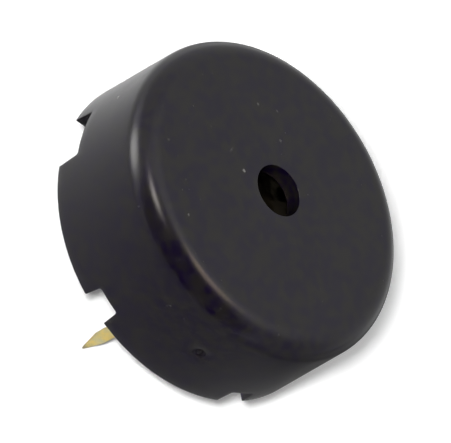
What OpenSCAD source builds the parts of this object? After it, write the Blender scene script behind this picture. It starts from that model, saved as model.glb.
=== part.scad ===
// Round piezo sounder with two pins: a moulded cup with a sound hole and a notched skirt,
// a bender disc bonded inside it, a snap-in base plate and two stamped spring terminals.
// The seating rim lies at z = 0, the sound hole faces +Z and the pins lie on the X axis.

/* [Housing] */
// Diameter of the seating rim, the widest part of the cup
rim_d = 22; // [20.6:0.1:28]
// Height from the seating rim to the top face
housing_h = 7.9; // [7:0.1:12]
// Draft of the outer wall in degrees
wall_draft = 3.2; // [0.5:0.1:4]
// Radius of the rounded top edge
top_edge_r = 1.6; // [0.6:0.1:2]
// Thickness of the skirt at the seating rim
skirt_wall = 1; // [0.8:0.05:1.2]
// Thickness of the top wall
top_wall = 1.2; // [0.8:0.1:1.5]
// Diameter of the sound hole
sound_hole_d = 3.4; // [1.5:0.1:6]
// Radius of the rounded mouth of the sound hole
hole_edge_r = 0.1; // [0.05:0.05:0.4]
// Width of the ledge that the base plate seats on
base_ledge = 0.5; // [0.4:0.05:0.7]
// Width of the ledge that the bender seats on
bender_ledge = 0.9; // [0.6:0.05:1.2]

/* [Skirt notches] */
// Number of notches in the skirt
notch_count = 6; // [3:3:9]
// Angle from the pin line to the first wide notch
notch_turn = -75.5; // [-90:0.5:-60]
// Every so many notches is a wide one
wide_every = 3; // [2:1:3]
// Width of a narrow notch at the rim
narrow_w = 2.05; // [1.5:0.05:3]
// Height of a narrow notch
narrow_h = 1.35; // [0.8:0.05:1.7]
// Width of a wide notch at the rim
wide_w = 3.9; // [2.5:0.05:4.5]
// Height of a wide notch
wide_h = 1.75; // [1:0.05:1.85]
// Slope of the notch sides in degrees
notch_draft = 6; // [2:1:10]
// Radius of the inner corners of a notch
notch_corner_r = 0.2; // [0.1:0.05:0.5]

/* [Snap catches] */
// Arc that each catch takes up in degrees
catch_span = 16; // [10:1:22]
// How far a catch stands in from the skirt
catch_depth = 0.2; // [0.15:0.01:0.3]
// Height of a catch
catch_h = 0.7; // [0.5:0.05:1]

/* [Moulding gate] */
// Diameter of the sunk gate mark on the wall
gate_d = 0.8; // [0.5:0.1:1.2]
// Depth of the gate mark
gate_depth = 0.2; // [0.1:0.05:0.4]
// Height of the gate mark above the seating rim
gate_z = 3.8; // [2.6:0.1:5]
// Angle from the pin line to the gate mark
gate_turn = 15; // [0:1:30]

/* [Base plate] */
// Height of the base plate's underside above the seating rim
base_recess = 1.9; // [1.7:0.05:2.2]
// Thickness of the base plate
base_t = 1.2; // [0.9:0.1:1.4]
// Radial clearance of the base plate in the skirt
base_clear = 0.05; // [0.03:0.01:0.1]
// Lead-in chamfer of the base plate
base_chamfer = 0.15; // [0.1:0.01:0.2]
// Length of the collar around a pin, across the pin line
collar_l = 2.8; // [2:0.1:3.4]
// Width of the collar around a pin, along the pin line
collar_w = 1.6; // [1:0.1:2]
// Height of the collar around a pin
collar_h = 0.5; // [0.3:0.05:0.8]
// Diameter of the post that stakes a terminal
stake_d = 0.9; // [0.7:0.05:1]
// Diameter of the formed head of that post
stake_head_d = 1.5; // [1.3:0.05:1.7]
// Height of the formed head
stake_head_h = 0.3; // [0.2:0.05:0.45]

/* [Bender] */
// Room between the base plate and the bender
rear_room = 1.6; // [1.4:0.05:1.8]
// Thickness of the brass plate
plate_t = 0.2; // [0.1:0.02:0.3]
// Radial clearance of the brass plate in the cup
plate_clear = 0.1; // [0.05:0.01:0.15]
// Diameter of the ceramic disc
ceramic_d = 14; // [12:0.1:15]
// Thickness of the ceramic disc
ceramic_t = 0.22; // [0.15:0.01:0.28]
// Bare margin of ceramic around the silver electrode
electrode_margin = 0.5; // [0.3:0.05:1]
// Thickness of the silver electrode
electrode_t = 0.03; // [0.02:0.01:0.05]
// Leg of the silicone bead at the bender's edge
bead_leg = 0.55; // [0.4:0.05:0.7]

/* [Terminals] */
// Distance between the two pins
pin_pitch = 15; // [13:0.1:16]
// Length of a pin below the seating rim
pin_l = 6.8; // [3:0.1:12]
// Width of a pin
pin_w = 0.85; // [0.6:0.05:1.1]
// Thickness of the terminal strip
strip_t = 0.3; // [0.2:0.02:0.4]
// Length of the pointed tip
tip_l = 1.75; // [1:0.05:2.5]
// Width left at the very tip
tip_w = 0.12; // [0.06:0.02:0.3]
// Inner radius of each bend in the strip
bend_r = 0.2; // [0.1:0.01:0.3]
// Clearance of a pin in its slot, each side
slot_clear = 0.05; // [0.03:0.01:0.1]
// Clearance of a stake post in its hole, each side
stake_clear = 0.05; // [0.03:0.01:0.1]
// Length of the foot that lies on the base plate
foot_l = 2.3; // [2:0.05:3]
// Width of that foot
foot_w = 2.2; // [1.8:0.05:3]
// Width of a spring arm
arm_w = 1; // [0.95:0.05:1.3]
// Distance from the axis to the contact on the silver electrode
electrode_contact_r = 1.5; // [0.5:0.1:2]
// Radius of the contact dimple's sphere
dimple_r = 0.5; // [0.45:0.01:0.52]
// Height of the contact dimple above its arm
dimple_h = 0.2; // [0.15:0.01:0.25]
// Clearance between a spring arm's end and the face that its dimple meets
arm_end_clear = 0.05; // [0.03:0.01:0.1]

/* [Hidden] */
$fn = 96;

// Spare length of a cutter past the surface that it opens
past = 1;
// Depth by which a moulded feature is rooted in the wall that carries it
rooted = 0.3;
// Part of a catch's height that is upright
catch_upright = 0.2;
// Depth by which a dimple's sphere is rooted in its arm
dimple_root = 0.1;
// Part of a spring arm's width that is cut off each corner of its end
arm_corner = 0.25;
// Flats that make up the bend of a spring arm
bend_steps = 8;

// Radii of the cup, from the rim inwards
rim_r = rim_d / 2;
skirt_r = rim_r - skirt_wall;
pocket_r = skirt_r - base_ledge;
cavity_r = pocket_r - bender_ledge;
gate_wall_r = rim_r - gate_z * tan(wall_draft);

// Levels of the stack, from the seating rim upwards
base_top = base_recess + base_t;
plate_z = base_top + rear_room;
bender_seat = plate_z + plate_t;
ceiling_z = housing_h - top_wall;
ceramic_z = plate_z - ceramic_t;
electrode_z = ceramic_z - electrode_t;

// Pieces of the bender
plate_r = pocket_r - plate_clear;
ceramic_r = ceramic_d / 2;
electrode_r = ceramic_r - electrode_margin;

// Places along the pin line
pin_x = pin_pitch / 2;
pin_inner_x = pin_x - strip_t / 2;
foot_x = pin_inner_x - bend_r;
foot_end_x = foot_x - foot_l;
stake_x = foot_x - foot_l / 2;
side_arm_x = foot_x - arm_w / 2;

// The contact on the brass plate lies midway between the ceramic and the silicone bead
plate_contact_r = (ceramic_r + pocket_r - bead_leg) / 2;
plate_contact_y = sqrt(pow(plate_contact_r, 2) - pow(side_arm_x, 2));

// A spring arm leaves its foot through one bend, and its dimple just meets the face above.
// reach is the level distance from foot to contact, rise the height of that face above the foot.
dimple_back = bend_r + dimple_r - dimple_h;
function dimple_rise(rise) = rise - strip_t - bend_r - dimple_r;
function arm_length(reach, rise) =
    sqrt(pow(reach, 2) + pow(dimple_rise(rise), 2) - pow(dimple_back, 2));
function arm_slope(reach, rise) =
    atan2(dimple_rise(rise), reach) + atan2(dimple_back, arm_length(reach, rise));

// Point of a strip that has turned upwards by an angle, at a height above its lower face
function bend_point(angle, up) =
    let (r = bend_r + strip_t - up)
    [r * sin(angle), bend_r + strip_t - r * cos(angle)];

// Waste outside the round upper corner of an outline whose side slopes in from half_w at its foot
module corner_waste(half_w, height, draft, corner_r) {
    corner_y = height - corner_r;
    corner_x = half_w - corner_y * tan(draft) - corner_r / cos(draft);
    side_y = corner_y + corner_r * sin(draft);
    difference() {
        polygon([
            [corner_x, corner_y],
            [corner_x + corner_r * cos(draft), side_y],
            [half_w + past, side_y],
            [half_w + past, height + past],
            [corner_x, height + past]
        ]);
        translate([corner_x, corner_y]) circle(corner_r);
    }
}

// A slot-shaped outline, longest along Y
module oblong(length, width) {
    straight = length - width;
    square([width, straight], center = true);
    for (side = [-1, 1]) translate([0, side * straight / 2]) circle(d = width);
}

// Cutter for one notch, running outwards along X through the skirt
module notch(width, height) {
    foot_half = width / 2 + past * tan(notch_draft);
    root_half = width / 2 - height * tan(notch_draft);
    cut_h = height + past;
    translate([skirt_r - past, 0, -past])
        rotate([90, 0, 90])
            linear_extrude(skirt_wall + 2 * past)
                difference() {
                    polygon([[-foot_half, 0], [foot_half, 0], [root_half, cut_h], [-root_half, cut_h]]);
                    for (side = [0, 1])
                        mirror([side, 0]) corner_waste(foot_half, cut_h, notch_draft, notch_corner_r);
                }
}

module notches() {
    for (i = [0 : notch_count - 1])
        rotate(notch_turn + i * 360 / notch_count)
            if (i % wide_every == 0) notch(wide_w, wide_h);
            else notch(narrow_w, narrow_h);
}

// Ridges inside the skirt, midway between notches, that the base plate snaps over.
// Each is rooted in the wall as deep as it stands out, along the line of its lead-in slope.
module snap_catches() {
    upright = catch_h * catch_upright;
    for (i = [0 : notch_count - 1])
        rotate(notch_turn + (i + 0.5) * 360 / notch_count - catch_span / 2)
            rotate_extrude(angle = catch_span)
                polygon([
                    [skirt_r + catch_depth, base_recess],
                    [skirt_r - catch_depth, base_recess],
                    [skirt_r - catch_depth, base_recess - upright],
                    [skirt_r + catch_depth, base_recess - 2 * catch_h + upright]
                ]);
}

// The stepped inside of the cup: skirt, bender pocket and front cavity
module cup_inside() {
    translate([0, 0, -past]) cylinder(r = skirt_r, h = base_top + past);
    cylinder(r = pocket_r, h = bender_seat);
    cylinder(r = cavity_r, h = ceiling_z);
}

module sound_hole() {
    hole_r = sound_hole_d / 2;
    rotate_extrude() {
        square([hole_r, housing_h + past]);
        difference() {
            translate([0, housing_h - hole_edge_r]) square([hole_r + hole_edge_r, hole_edge_r + past]);
            translate([hole_r + hole_edge_r, housing_h - hole_edge_r]) circle(hole_edge_r);
        }
    }
}

module gate_mark() {
    rotate(gate_turn)
        translate([gate_wall_r - gate_depth, 0, gate_z])
            rotate([0, 90, 0]) cylinder(d = gate_d, h = past);
}

// The cup's outside, before anything is cut from it
module cup_outside() {
    top_r = rim_r - housing_h * tan(wall_draft);
    rotate_extrude()
        difference() {
            polygon([[0, 0], [rim_r, 0], [top_r, housing_h], [0, housing_h]]);
            corner_waste(rim_r, housing_h, wall_draft, top_edge_r);
        }
}

module housing() {
    color("#2b2a2e") {
        difference() {
            cup_outside();
            cup_inside();
            sound_hole();
            notches();
            gate_mark();
        }
        snap_catches();
    }
}

// One pin's passage through the base plate, eased where the strip bends over its edge
module pin_slot() {
    slot_w = pin_w + 2 * slot_clear;
    slot_x = pin_inner_x - slot_clear;
    translate([slot_x, -slot_w / 2, 0]) cube([strip_t + 2 * slot_clear, slot_w, base_top + past]);
    translate([0, slot_w / 2, 0])
        rotate([90, 0, 0])
            linear_extrude(slot_w)
                polygon([
                    [slot_x - bend_r, base_top],
                    [slot_x, base_top - bend_r],
                    [slot_x + strip_t, base_top - bend_r],
                    [slot_x + strip_t, base_top + past],
                    [slot_x - bend_r, base_top + past]
                ]);
}

module stake() {
    translate([stake_x, 0, base_top - rooted]) cylinder(d = stake_d, h = rooted + strip_t);
    translate([stake_x, 0, base_top + strip_t]) cylinder(d = stake_head_d, h = stake_head_h);
}

module base_plate() {
    base_r = skirt_r - base_clear;
    color("#26262a") {
        difference() {
            union() {
                rotate_extrude()
                    polygon([
                        [0, base_recess],
                        [base_r, base_recess],
                        [base_r, base_top - base_chamfer],
                        [base_r - base_chamfer, base_top],
                        [0, base_top]
                    ]);
                for (turn = [0, 180])
                    rotate(turn)
                        translate([pin_x, 0, base_recess - collar_h])
                            linear_extrude(collar_h + rooted) oblong(collar_l, collar_w);
            }
            for (turn = [0, 180]) rotate(turn) pin_slot();
        }
        for (turn = [0, 180]) rotate(turn) stake();
    }
}

module diaphragm_plate() {
    color("#c9a24a") translate([0, 0, plate_z]) cylinder(r = plate_r, h = plate_t);
}

module piezo_disc() {
    color("#d8d2bc") translate([0, 0, ceramic_z]) cylinder(r = ceramic_r, h = ceramic_t);
}

module silver_electrode() {
    color("#c4c6c8") translate([0, 0, electrode_z]) cylinder(r = electrode_r, h = electrode_t);
}

// Round bead in the corner between the brass plate and the cup
module diaphragm_adhesive() {
    color("#e4e2da")
        rotate_extrude()
            intersection() {
                translate([pocket_r, plate_z]) circle(bead_leg);
                translate([pocket_r - bead_leg, plate_z - bead_leg]) square(bead_leg);
            }
}

module pin_blade() {
    translate([pin_inner_x, 0, 0])
        rotate([90, 0, 90])
            linear_extrude(strip_t)
                polygon([
                    [-pin_w / 2, base_top - bend_r],
                    [-pin_w / 2, tip_l - pin_l],
                    [-tip_w / 2, -pin_l],
                    [tip_w / 2, -pin_l],
                    [pin_w / 2, tip_l - pin_l],
                    [pin_w / 2, base_top - bend_r]
                ]);
}

// Pin, bend and staked foot, on the +X side
module pin_and_foot() {
    pin_blade();
    translate([foot_x, 0, base_top - bend_r])
        rotate([90, 0, 0])
            rotate_extrude(angle = 90) translate([bend_r, -pin_w / 2]) square([strip_t, pin_w]);
    difference() {
        translate([foot_end_x, -foot_w / 2, base_top]) cube([foot_l, foot_w, strip_t]);
        translate([stake_x, 0, base_top - past])
            cylinder(d = stake_d + 2 * stake_clear, h = strip_t + 2 * past);
    }
}

// Side view of a spring arm: rooted in its foot, one bend, then straight past the contact
module arm_side(reach, rise) {
    slope = arm_slope(reach, rise);
    along = (arm_length(reach, rise) + arm_w) * [cos(slope), sin(slope)];
    turns = [for (i = [0 : bend_steps]) slope * i / bend_steps];
    polygon(concat(
        [[-rooted, 0]],
        [for (turn = turns) bend_point(turn, 0)],
        [bend_point(slope, 0) + along, bend_point(slope, strip_t) + along],
        [for (i = [bend_steps : -1 : 0]) bend_point(turns[i], strip_t)],
        [[-rooted, strip_t]]
    ));
}

// Top view of a spring arm, with the corners of its end cut off
module arm_top(reach) {
    side = arm_w / 2;
    cut = arm_w * arm_corner;
    end = reach + side;
    polygon([
        [-rooted, -side], [end - cut, -side], [end, cut - side],
        [end, side - cut], [end - cut, side], [-rooted, side]
    ]);
}

// Spring arm along +X from a foot's edge at the origin, with its contact dimple
module spring_arm(reach, rise) {
    intersection() {
        rotate([90, 0, 0]) linear_extrude(arm_w + past, center = true) arm_side(reach, rise);
        translate([0, 0, -past]) linear_extrude(past + rise - arm_end_clear) arm_top(reach);
    }
    translate([reach, 0, rise - dimple_r]) intersection() {
        sphere(dimple_r);
        rotate([0, -arm_slope(reach, rise), 0])
            translate([-dimple_r, -dimple_r, dimple_r - dimple_h - dimple_root]) cube(2 * dimple_r);
    }
}

// Touches the brass plate outside the ceramic, with an arm along the cup's wall
module plate_terminal() {
    color("#cdb46e") {
        pin_and_foot();
        translate([side_arm_x, foot_w / 2, base_top])
            rotate(90) spring_arm(plate_contact_y - foot_w / 2, plate_z - base_top);
    }
}

// Touches the silver electrode, with an arm towards the axis
module electrode_terminal() {
    color("#cdb46e")
        rotate(180) {
            pin_and_foot();
            translate([foot_end_x, 0, base_top])
                rotate(180) spring_arm(foot_end_x - electrode_contact_r, electrode_z - base_top);
        }
}

housing();
base_plate();
diaphragm_plate();
piezo_disc();
silver_electrode();
diaphragm_adhesive();
plate_terminal();
electrode_terminal();
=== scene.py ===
import math

import bmesh
import bpy
from mathutils import Matrix, Vector


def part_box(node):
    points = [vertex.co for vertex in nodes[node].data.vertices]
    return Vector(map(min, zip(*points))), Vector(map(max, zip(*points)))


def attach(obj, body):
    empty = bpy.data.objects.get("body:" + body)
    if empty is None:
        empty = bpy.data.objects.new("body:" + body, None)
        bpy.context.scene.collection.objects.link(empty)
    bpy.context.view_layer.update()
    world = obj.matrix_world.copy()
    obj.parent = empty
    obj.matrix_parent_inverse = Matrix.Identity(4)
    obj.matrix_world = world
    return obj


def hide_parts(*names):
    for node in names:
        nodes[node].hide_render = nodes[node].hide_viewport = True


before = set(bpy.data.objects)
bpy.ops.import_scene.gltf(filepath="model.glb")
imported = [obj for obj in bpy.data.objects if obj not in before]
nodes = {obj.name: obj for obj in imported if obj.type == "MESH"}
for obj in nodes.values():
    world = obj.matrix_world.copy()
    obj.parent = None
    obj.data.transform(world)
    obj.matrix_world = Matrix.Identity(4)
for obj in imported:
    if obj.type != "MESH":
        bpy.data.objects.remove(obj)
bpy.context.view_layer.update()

MM = 0.001
UP = Vector((0, 0, 1))
CENTRE = Vector((0, 0, 0))

# Distances in millimetres within which two points count as the same, or as near
SAME = 0.001
NEAR = 0.01
SHARP_ANGLE = math.radians(40)


def node_top(name):
    """Highest point of a solid, in millimetres."""
    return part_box(name)[1].z / MM


def node_bottom(name):
    """Lowest point of a solid, in millimetres."""
    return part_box(name)[0].z / MM


# The cup, in millimetres above the seating rim
RIM_R = 11.0
HOUSING_H = node_top("housing")
WALL_DRAFT = math.radians(3.2)
TOP_EDGE_R = 1.6
TOP_EDGE_STEPS = 16
TOP_T = 1.2
SKIRT_R = 10.0
POCKET_R = 9.5
CAVITY_R = 8.6
CEILING_Z = HOUSING_H - TOP_T
SOUND_HOLE_R = 1.7
HOLE_EDGE_R = 0.06
HOLE_EDGE_STEPS = 6
BASE_BOTTOM = 1.9
BASE_TOP = 3.1
BENDER_SEAT = node_top("diaphragm_plate")

# Rounding of the skirt's edges, and of the inner ones, which lie within a radius
SKIRT_EDGE_R = 0.05
INNER_EDGE_R = 0.04
INSIDE_R = POCKET_R + 0.6

# Wear of the rounded top edge, and where it starts; the skirt's edges have a wear of 1
TOP_WEAR = 0.45
TOP_WEAR_Z = HOUSING_H - 1.1 * TOP_EDGE_R

# Notches in the skirt: angle, width at the rim and height of each; one has a worn corner
NOTCH_TURN = -75.5
NOTCH_STEP = 60
WIDE_NOTCH = (3.9, 1.75)
NARROW_NOTCH = (2.05, 1.35)
NOTCHES = [
    (math.radians(NOTCH_TURN + i * NOTCH_STEP), *(NARROW_NOTCH if i % 3 else WIDE_NOTCH))
    for i in range(360 // NOTCH_STEP)
]
NOTCH_DRAFT = math.radians(6)
NOTCH_CORNER_R = 0.2
CORNER_STEPS = 6
CORNER_COLUMNS = CORNER_STEPS // 2
NOTCH_COLUMN = 0.22
SOFT_CORNER_NOTCH = 1
SOFT_CORNER_R = 0.22

# Catches inside the skirt, midway between notches
CATCH_HALF = math.radians(8)
CATCH_END = math.radians(1.45)
CATCH_DEPTH = 0.2
CATCH_R = SKIRT_R - CATCH_DEPTH
CATCH_UPRIGHT = 0.14
CATCH_UPRIGHT_Z = BASE_BOTTOM - CATCH_UPRIGHT
CATCH_FOOT_Z = 1.2

# Broken moulding gate, sunk in the wall: its patch of the mesh, and (radius, depth) rings
GATE_TURN = math.radians(15)
GATE_Z = 3.8
GATE_PATCH = 4
GATE_RINGS = [(0.46, 0), (0.42, 0.015), (0.4, 0.05), (0.385, 0.19), (0.22, 0.2),
              (0.19, 0.17), (0.15, 0.1), (0.09, 0.07)]

# Levels of the mesh on the skirt, shared by its two faces so that a notch can join them
CORNER_LEVELS = [
    height - NOTCH_CORNER_R * 2 * i / CORNER_STEPS
    for _, height in (NARROW_NOTCH, WIDE_NOTCH) for i in reversed(range(CORNER_COLUMNS + 1))
]
SKIRT_LEVELS = [0, 0.6, *CORNER_LEVELS]
CATCH_LEVELS = [BASE_BOTTOM, 2.0, BASE_TOP]
WALL_LEVELS = [2.4, 3.0, 3.2, 3.4, 3.6, 3.8, 4.0, 4.2, 4.4, 4.6, 5.2, 5.8]
COLUMN_ANGLE = math.radians(1.25)

# Rings of the mesh on the top face, as shares of the way from its rounded edge to the sound hole
TOP_RINGS = (0.12, 0.35, 0.6, 0.85)

# Base plate: its edge, the collars round the pins, and marks of its mould as (radius, depth) rings
BASE_CLEAR = 0.05
BASE_R = SKIRT_R - BASE_CLEAR
BASE_STEPS = 180
BASE_CHAMFER = 0.15
BASE_EDGE_R = 0.05
COLLAR_L, COLLAR_W = 2.8, 1.6
COLLAR_H = 0.5
COLLAR_BOTTOM = BASE_BOTTOM - COLLAR_H
COLLAR_STEPS = 32
SLOT_CLEAR = 0.05
EJECTOR_RINGS = [(0.9, 0), (0.885, 0.03), (0.86, 0.035)]
EJECTOR_R = 6.2
EJECTOR_TURNS = [math.radians(turn) for turn in (90, 210, 330)]
PLATE_GATE_RINGS = [(0.8, 0), (0.76, 0.2), (0.3, 0.22), (0.27, 0.17), (0.2, 0.1), (0.1, 0.08)]
MARK_STEPS = 40

# Terminals, and the posts that hold them as (radius, depth) rings
PIN_X = 7.5
PIN_W = 0.85
PIN_END = node_bottom("plate_terminal")
TIP_L = 1.75
TIP_W = 0.12
STRIP_T = 0.3
STRIP_EDGE_R = 0.03
BEND_R = 0.2
PIN_BEND_STEPS = 6
ARM_BEND_STEPS = 8
FOOT_L = 2.3
FOOT_W = 2.2
FOOT_CORNER_R = 0.3
ARM_W = 1.0
ARM_END = 0.5
STAKE_HOLE_R = 0.5
STAKE_STEPS = 32
STAKE_RINGS = [(0.45, 0), (0.45, -0.3), (0.75, -0.3), (0.75, -0.4),
               (0.68, -0.5), (0.5, -0.57), (0.25, -0.6)]
FOOT_X = PIN_X - STRIP_T / 2 - BEND_R
FOOT_END_X = FOOT_X - FOOT_L
STAKE_X = FOOT_X - FOOT_L / 2

# Slopes coined along the edges of a pin, from a share of its half width outwards
COINED_DEPTH = 0.09
COINED_FROM = 0.74
PIN_ROOT = [(FOOT_X, PIN_W / 2 * share) for share in (-1, -COINED_FROM, COINED_FROM, 1)]

# Dimples at the ends of the arms, and what they touch
DIMPLE_R = 0.5
DIMPLE_H = 0.2
DIMPLE_TURNS = [math.radians(turn) for turn in (30, 42, 54, 66, 78)]
DIMPLE_STEPS = 24
ELECTRODE_CONTACT_R = 1.5
PLATE_CONTACT_R = 7.975
PLATE_Z = node_bottom("diaphragm_plate")
ELECTRODE_Z = node_bottom("silver_electrode")


# Mesh helpers

def turned(radius, angle, height):
    """Point at a radius, an angle from +X and a height."""
    return Vector((radius * math.cos(angle), radius * math.sin(angle), height))


def arc(centre, radius, start, end, steps):
    """Points of an arc in a plane, with both ends."""
    return [
        (centre[0] + radius * math.cos(a), centre[1] + radius * math.sin(a))
        for a in (start + (end - start) * i / steps for i in range(steps + 1))
    ]


def chain_edges(bm, chain):
    """Edges along a row of vertices."""
    return [bm.edges.get(pair) for pair in zip(chain, chain[1:])]


def sharp_edges(bm):
    """Edges where two faces meet at a sharp angle."""
    return [e for e in bm.edges if len(e.link_faces) == 2 and e.calc_face_angle() > SHARP_ANGLE]


def round_edges(bm, edges, width, segments):
    """Rounds edges and returns the new faces."""
    made = bmesh.ops.bevel(
        bm, geom=edges, offset=width, offset_type="OFFSET", segments=segments, profile=0.5,
        affect="EDGES", clamp_overlap=True, material=-1,
    )
    return made["faces"]


def extruded(bm, edges):
    """Extrudes a chain of edges and returns its new vertices and edges."""
    made = bmesh.ops.extrude_edge_only(bm, edges=edges)["geom"]
    verts = [g for g in made if isinstance(g, bmesh.types.BMVert)]
    moved = set(verts)
    rim = [g for g in made if isinstance(g, bmesh.types.BMEdge) and moved.issuperset(g.verts)]
    return verts, rim


def ring(bm, radius, segments, place):
    """Circle of edges, moved by a matrix."""
    verts = bmesh.ops.create_circle(bm, segments=segments, radius=radius, matrix=place)["verts"]
    return verts, list({e for v in verts for e in v.link_edges})


def sink_rings(bm, edges, middle, outwards, rings):
    """Carries a ring of edges through (radius, depth) steps and closes its end."""
    for (before, depth_before), (radius, depth) in zip(rings, rings[1:]):
        verts, edges = extruded(bm, edges)
        for v in verts:
            out = outwards * (v.co - middle).dot(outwards)
            v.co = middle + out + (v.co - middle - out) * (radius / before)
            v.co -= outwards * (depth - depth_before)
    bmesh.ops.contextual_create(bm, geom=edges)


def walled(bm, edges, height):
    """Carries a loop of edges straight to a height."""
    verts, edges = extruded(bm, edges)
    for v in verts:
        v.co.z = height
    return verts, edges


def filled(bm, loops):
    """Flat face inside the outermost loop of edges, open inside the others."""
    bmesh.ops.triangle_fill(bm, edges=[e for loop in loops for e in loop], use_beauty=True)


def make_piece(name, bm, material, replaced, bevel=None):
    """Turns a mesh in millimetres into a piece of the object, in the place of a solid."""
    bmesh.ops.scale(bm, vec=(MM, MM, MM), verts=bm.verts)
    for face in bm.faces:
        face.smooth = True
    mesh = bpy.data.meshes.new(name)
    bm.to_mesh(mesh)
    bm.free()
    piece = bpy.data.objects.new(name, mesh)
    bpy.context.scene.collection.objects.link(piece)
    if bevel:
        rounding = piece.modifiers.new("rounding", "BEVEL")
        rounding.width = bevel * MM
        rounding.segments = 2
        rounding.limit_method = "ANGLE"
        rounding.angle_limit = SHARP_ANGLE
    normals = piece.modifiers.new("flat_faces", "WEIGHTED_NORMAL")
    normals.keep_sharp = True
    mesh.materials.append(material)
    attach(piece, "root")
    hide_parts(replaced)


# Housing

def wall_r(height):
    """Radius of the drafted outer wall."""
    return RIM_R - height * math.tan(WALL_DRAFT)


def cup_section():
    """Section of the cup as (radius, height), from its lower ledge down, round the rim and over the top."""
    edge_z = HOUSING_H - TOP_EDGE_R
    edge_r = wall_r(edge_z) - TOP_EDGE_R / math.cos(WALL_DRAFT)
    mouth_r = SOUND_HOLE_R + HOLE_EDGE_R
    inner = [(SKIRT_R, z) for z in reversed(SKIRT_LEVELS + CATCH_LEVELS)]
    outer = [(wall_r(z), z) for z in SKIRT_LEVELS + WALL_LEVELS]
    top_edge = arc((edge_r, edge_z), TOP_EDGE_R, WALL_DRAFT, math.pi / 2, TOP_EDGE_STEPS)
    flat = [(edge_r + (mouth_r - edge_r) * share, HOUSING_H) for share in TOP_RINGS]
    mouth_middle = (mouth_r, HOUSING_H - HOLE_EDGE_R)
    mouth = arc(mouth_middle, HOLE_EDGE_R, math.pi / 2, math.pi, HOLE_EDGE_STEPS)
    inside = [(SOUND_HOLE_R, CEILING_Z), (CAVITY_R, CEILING_Z), (CAVITY_R, BENDER_SEAT),
              (POCKET_R, BENDER_SEAT), (POCKET_R, BASE_TOP)]
    return inner + outer + top_edge + flat + mouth + inside


def spread(start, end, most):
    """Values from start up to but not including end, no further apart than most."""
    count = max(1, math.ceil((end - start) / most))
    return [start + (end - start) * i / count for i in range(count)]


def notch_laterals(width):
    """Distances from a notch's middle to the mesh's columns across it."""
    half = width / 2
    inner = half - NOTCH_CORNER_R
    corner = [inner + NOTCH_CORNER_R * (i + 1) / CORNER_COLUMNS for i in range(CORNER_COLUMNS)]
    middle = spread(-inner, inner, NOTCH_COLUMN) + [inner]
    return [-u for u in reversed(corner)] + middle + corner


def cup_columns():
    """Angles of the mesh's columns, with the columns that each notch and each catch takes up."""
    angles, notch_spans, catch_spans = [], [], []
    for i, (turn, width, _) in enumerate(NOTCHES):
        across = [turn + math.asin(u / RIM_R) for u in notch_laterals(width)]
        notch_spans.append((len(angles), len(angles) + len(across) - 1))
        angles += across[:-1]
        following = NOTCHES[(i + 1) % len(NOTCHES)]
        gap_end = following[0] - math.asin(following[1] / 2 / RIM_R)
        gap_end += 2 * math.pi if gap_end < across[-1] else 0
        middle = turn + math.radians(NOTCH_STEP) / 2
        stops = [across[-1], middle - CATCH_HALF - CATCH_END, middle - CATCH_HALF,
                 middle + CATCH_HALF, middle + CATCH_HALF + CATCH_END, gap_end]
        # The third stretch between the stops is the catch, and the ones beside it are its sloped ends
        for j, (start, end) in enumerate(zip(stops, stops[1:])):
            first = len(angles)
            angles += spread(start, end, CATCH_END if j in (1, 3) else COLUMN_ANGLE)
            if j == 2:
                catch_spans.append((first, len(angles)))
    return angles, notch_spans, catch_spans


def notch_outline(width, height, levels):
    """Outline of one notch as (distance from its middle, height), with round upper corners."""
    corner_z = height - NOTCH_CORNER_R
    corner_u = width / 2 - corner_z * math.tan(NOTCH_DRAFT) - NOTCH_CORNER_R / math.cos(NOTCH_DRAFT)
    side = [(width / 2 - z * math.tan(NOTCH_DRAFT), z) for z in levels if z < corner_z - NEAR]
    side += arc((corner_u, corner_z), NOTCH_CORNER_R, NOTCH_DRAFT, math.pi / 2, CORNER_STEPS)
    laterals = notch_laterals(width)[CORNER_COLUMNS:-CORNER_COLUMNS]
    root = [(u * corner_u / laterals[-1], height) for u in laterals[1:-1]]
    return [(-u, z) for u, z in side] + root + side[::-1]


def cut_notch(bm, grid, rows, span, notch):
    """Opens one notch through the skirt and closes its walls."""
    turn, width, height = notch
    first, last = span
    count = rows["columns"]
    columns = [k % count for k in range(first, last + 1)]
    depth = SKIRT_LEVELS.index(height)
    faces = (
        (rows["outer_foot"], 1, wall_r),
        (rows["inner_foot"], -1, lambda z: SKIRT_R),
    )
    chains = []
    for foot, step, radius_at in faces:
        side = [foot + step * i for i in range(depth + 1)]
        chain = [grid[columns[0], r] for r in side]
        chain += [grid[k, side[-1]] for k in columns[1:-1]]
        chain += [grid[columns[-1], r] for r in reversed(side)]
        chains.append((chain, radius_at))
    low, high = rows["inner_foot"] - depth, rows["outer_foot"] + depth
    taken = {grid[k, r] for k in columns for r in range(low, high + 1)}
    waste = {f for v in taken for f in v.link_faces if taken.issuperset(f.verts)}
    bmesh.ops.delete(bm, geom=list(waste), context="FACES")
    for chain, radius_at in chains:
        for vert, (u, z) in zip(chain, notch_outline(width, height, SKIRT_LEVELS[:depth + 1])):
            radius = radius_at(z)
            vert.co = turned(radius, turn + math.asin(u / radius), z)
    edges = [e for chain, _ in chains for e in chain_edges(bm, chain)]
    bmesh.ops.bridge_loops(bm, edges=edges)


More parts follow.
